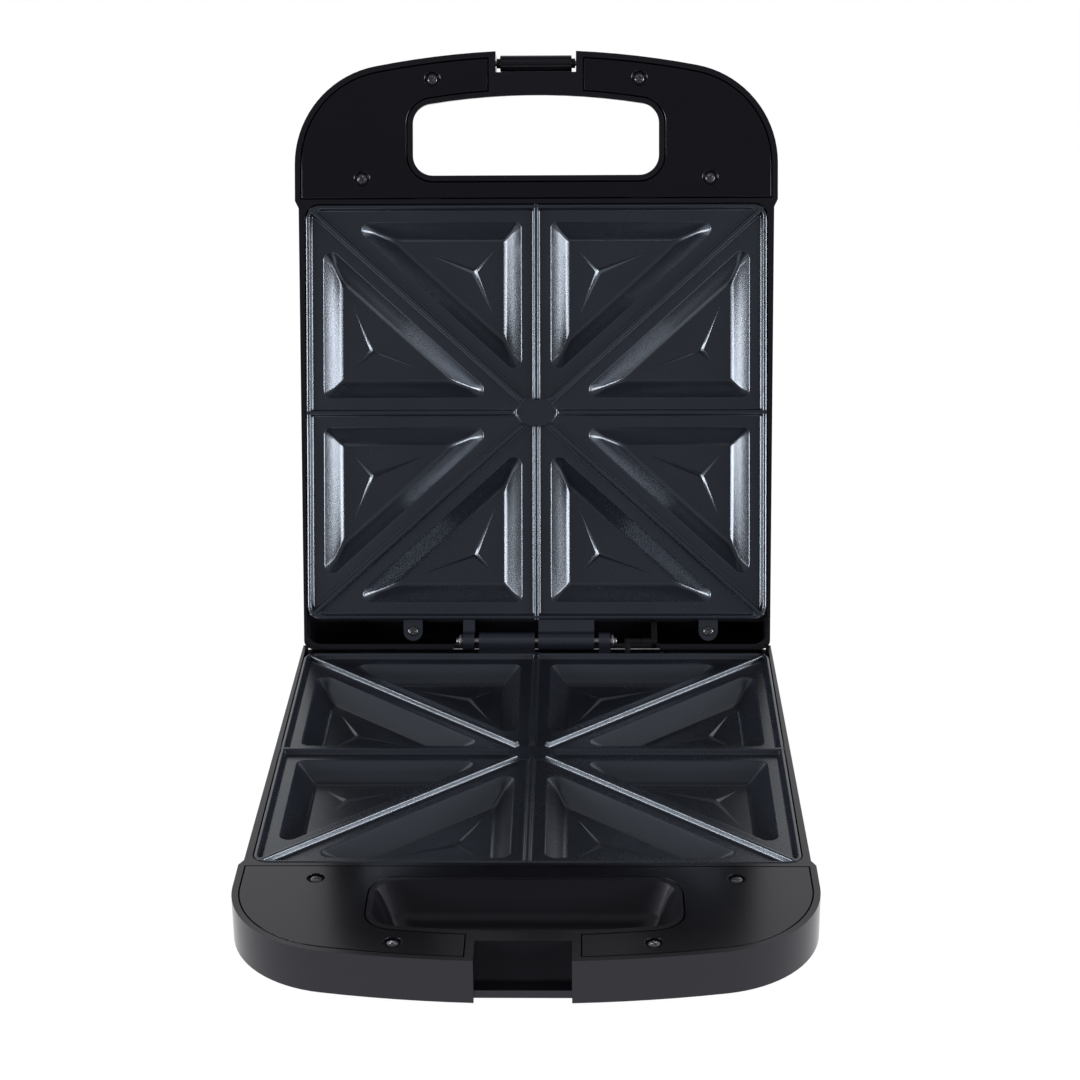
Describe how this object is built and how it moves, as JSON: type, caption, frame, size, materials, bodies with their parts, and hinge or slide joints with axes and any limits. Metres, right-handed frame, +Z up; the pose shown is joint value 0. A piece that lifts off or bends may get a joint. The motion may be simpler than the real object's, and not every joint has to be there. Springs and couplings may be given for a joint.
{
  "type": "sandwich toaster",
  "caption": "Hinged sandwich toaster with triangular toasting pockets, loop handles with a finger grip and a swinging latch, shown with its lid open.",
  "frame": {"origin": "centre of the bounding box at the height of the feet's soles, lid open", "axes": "+X to the user's right, +Y away from the user towards the hinge, +Z up"},
  "size_m": [0.2674, 0.4793, 0.3556],
  "materials": {
    "casing": "satin gloss, moulded",
    "panel": "gloss",
    "plate": "non-stick coating on die-cast aluminium, satin",
    "black_screw": "black oxide",
    "steel": "bright",
    "element_sheath": "dull, heat tinted",
    "shield": "bright sheet",
    "insulator": "matt",
    "lead": "glass-fibre sleeve",
    "rubber": "matt",
    "latch": "satin",
    "neon": "clear",
    "red_lens": "clear tinted",
    "green_lens": "clear tinted"
  },
  "bodies": {
    "base": {"base_housing": "casing", "base_handle_panel": "panel", "base_plate": "plate", "base_panel_screws": "black_screw", "base_plate_screws": "black_screw", "base_heating_element": "element_sheath", "base_element_clips": "steel", "base_reflector": "shield", "base_reflector_screws": "steel", "thermostat": "insulator", "thermostat_bracket": "steel", "thermal_fuse": "insulator", "terminal_block": "insulator", "base_wiring": "lead", "cord_gland": "rubber", "rubber_feet": "rubber", "hinge_pin": "steel", "hinge_pin_clips": "steel"},
    "lid": {"lid_housing": "casing", "lid_handle_panel": "panel", "lid_plate": "plate", "lid_panel_screws": "black_screw", "lid_plate_screws": "black_screw", "lid_heating_element": "element_sheath", "lid_element_clips": "steel", "lid_reflector": "shield", "lid_reflector_screws": "steel", "lid_wiring": "lead", "lamp_holder": "insulator", "neon_lamps": "neon", "power_lamp_lens": "red_lens", "ready_lamp_lens": "green_lens"},
    "latch": {"latch": "latch", "latch_pin": "steel"}
  },
  "joints": [
    {"name": "lid_hinge", "type": "hinge", "parent": "base", "child": "lid", "pos_m": [0, 0.08713, 0.05], "axis": [1, 0, 0], "range_deg": [0, 110.4]},
    {"name": "latch_pivot", "type": "hinge", "parent": "lid", "child": "latch", "pos_m": [0, 0.20643, 0.34784], "axis": [1, 0, 0], "range_deg": [0, 180]}
  ]
}
